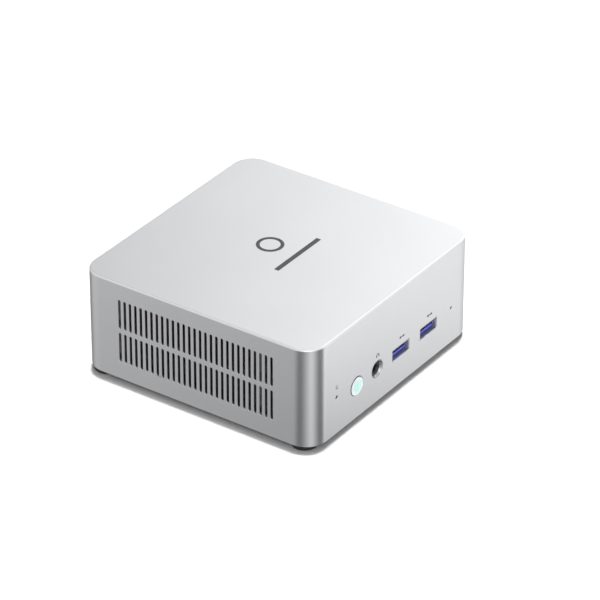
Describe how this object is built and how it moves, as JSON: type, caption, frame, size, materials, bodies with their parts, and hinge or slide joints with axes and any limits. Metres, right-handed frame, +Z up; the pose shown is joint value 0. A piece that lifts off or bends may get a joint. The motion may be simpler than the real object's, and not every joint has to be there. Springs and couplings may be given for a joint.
{
  "type": "mini pc",
  "caption": "Small desktop computer in a metal shell with slotted side vents, front and rear ports, a blower cooler, memory, storage and a removable base cover on rubber feet",
  "frame": {"origin": "on the surface that the feet stand on, under the middle of the enclosure", "axes": "+Z up; the front with the power button faces -Y; the side vents face -X and +X; the rear ports face +Y"},
  "size_m": [0.127, 0.1253, 0.0517],
  "materials": {
    "shell_metal": "bead-blasted, silver anodised",
    "print_ink": "matt screen print",
    "black_plastic": "fine moulded texture",
    "foot_rubber": "soft matt rubber",
    "screw_steel": "zinc plated",
    "dark_steel": "black zinc",
    "brass": "turned",
    "button_plastic": "milky, lit from behind",
    "lamp_plastic": "clear moulded",
    "nickel": "satin nickel",
    "port_steel": "tin plated sheet",
    "port_blue": "moulded",
    "contact_gold": "gold plated",
    "board_green": "solder mask",
    "chip_black": "moulded epoxy",
    "coil_grey": "pressed powder",
    "can_aluminium": "drawn",
    "copper": "bare copper",
    "lead_black": "smooth sleeve"
  },
  "bodies": {
    "chassis": {"top_shell": "shell_metal", "printed_marks": "print_ink", "rear_panel": "black_plastic", "base_cover": "black_plastic", "rubber_feet": "foot_rubber", "case_screws": "dark_steel", "bracket_inserts": "brass", "power_switch": "black_plastic", "power_lamp": "lamp_plastic", "reset_switch": "black_plastic", "microphone": "brass", "jack_collar": "nickel", "headphone_jack": "black_plastic", "usb_front_shells": "port_steel", "usb_front_tongues": "port_blue", "usb_front_contacts": "contact_gold", "usb_rear_shell": "port_steel", "usb_rear_tongues": "port_blue", "usb_rear_contacts": "contact_gold", "lan_shield": "port_steel", "lan_socket": "black_plastic", "lan_contacts": "contact_gold", "displayport_socket": "port_steel", "hdmi_socket": "port_steel", "usb_c_socket": "port_steel", "power_inlet": "black_plastic", "motherboard": "board_green", "board_screws": "screw_steel", "processor": "board_green", "controller_chips": "chip_black", "power_inductors": "coil_grey", "capacitors": "can_aluminium", "cold_plate": "copper", "cooler_bars": "screw_steel", "cooler_fixings": "screw_steel", "heat_pipes": "copper", "fin_stack": "can_aluminium", "fan_housing": "black_plastic", "fan_cover": "screw_steel", "fan_motor": "copper", "fan_fixings": "screw_steel", "fan_lead": "lead_black", "memory_sockets": "black_plastic", "memory_modules": "board_green", "storage_card": "board_green", "radio_card": "board_green", "card_sockets": "black_plastic", "card_fixings": "screw_steel", "antennas": "black_plastic", "antenna_leads": "lead_black", "clock_battery": "screw_steel"},
    "power_key": {"power_button": "button_plastic", "power_plunger": "black_plastic"},
    "reset_key": {"reset_plunger": "button_plastic"},
    "fan_wheel": {"fan_rotor": "black_plastic", "fan_shaft": "screw_steel"},
    "rear_left_latch": {"latch_rear_left": "screw_steel"},
    "rear_right_latch": {"latch_rear_right": "screw_steel"},
    "front_left_latch": {"latch_front_left": "screw_steel"},
    "front_right_latch": {"latch_front_right": "screw_steel"}
  },
  "joints": [
    {"name": "power_press", "type": "slide", "parent": "chassis", "child": "power_key", "axis": [0, 1, 0], "range_m": [0, 0.0004], "stiffness_N_per_m": 1500},
    {"name": "reset_press", "type": "slide", "parent": "chassis", "child": "reset_key", "axis": [0, 1, 0], "range_m": [0, 0.00025], "stiffness_N_per_m": 1500},
    {"name": "fan_spin", "type": "hinge", "parent": "chassis", "child": "fan_wheel", "pos_m": [0, -0.003, 0.0399], "axis": [0, 0, 1], "continuous": true},
    {"name": "latch_rear_left_swing", "type": "hinge", "parent": "chassis", "child": "rear_left_latch", "pos_m": [-0.049, 0.0471, 0.0119], "axis": [0, 0, -1], "range_deg": [0, 6], "stiffness_Nm_per_rad": 0.05},
    {"name": "latch_rear_right_swing", "type": "hinge", "parent": "chassis", "child": "rear_right_latch", "pos_m": [0.023, 0.0471, 0.0119], "axis": [0, 0, 1], "range_deg": [0, 6], "stiffness_Nm_per_rad": 0.05},
    {"name": "latch_front_left_swing", "type": "hinge", "parent": "chassis", "child": "front_left_latch", "pos_m": [-0.049, 0.0131, 0.0119], "axis": [0, 0, -1], "range_deg": [0, 6], "stiffness_Nm_per_rad": 0.05},
    {"name": "latch_front_right_swing", "type": "hinge", "parent": "chassis", "child": "front_right_latch", "pos_m": [0.023, 0.0131, 0.0119], "axis": [0, 0, 1], "range_deg": [0, 6], "stiffness_Nm_per_rad": 0.05}
  ]
}
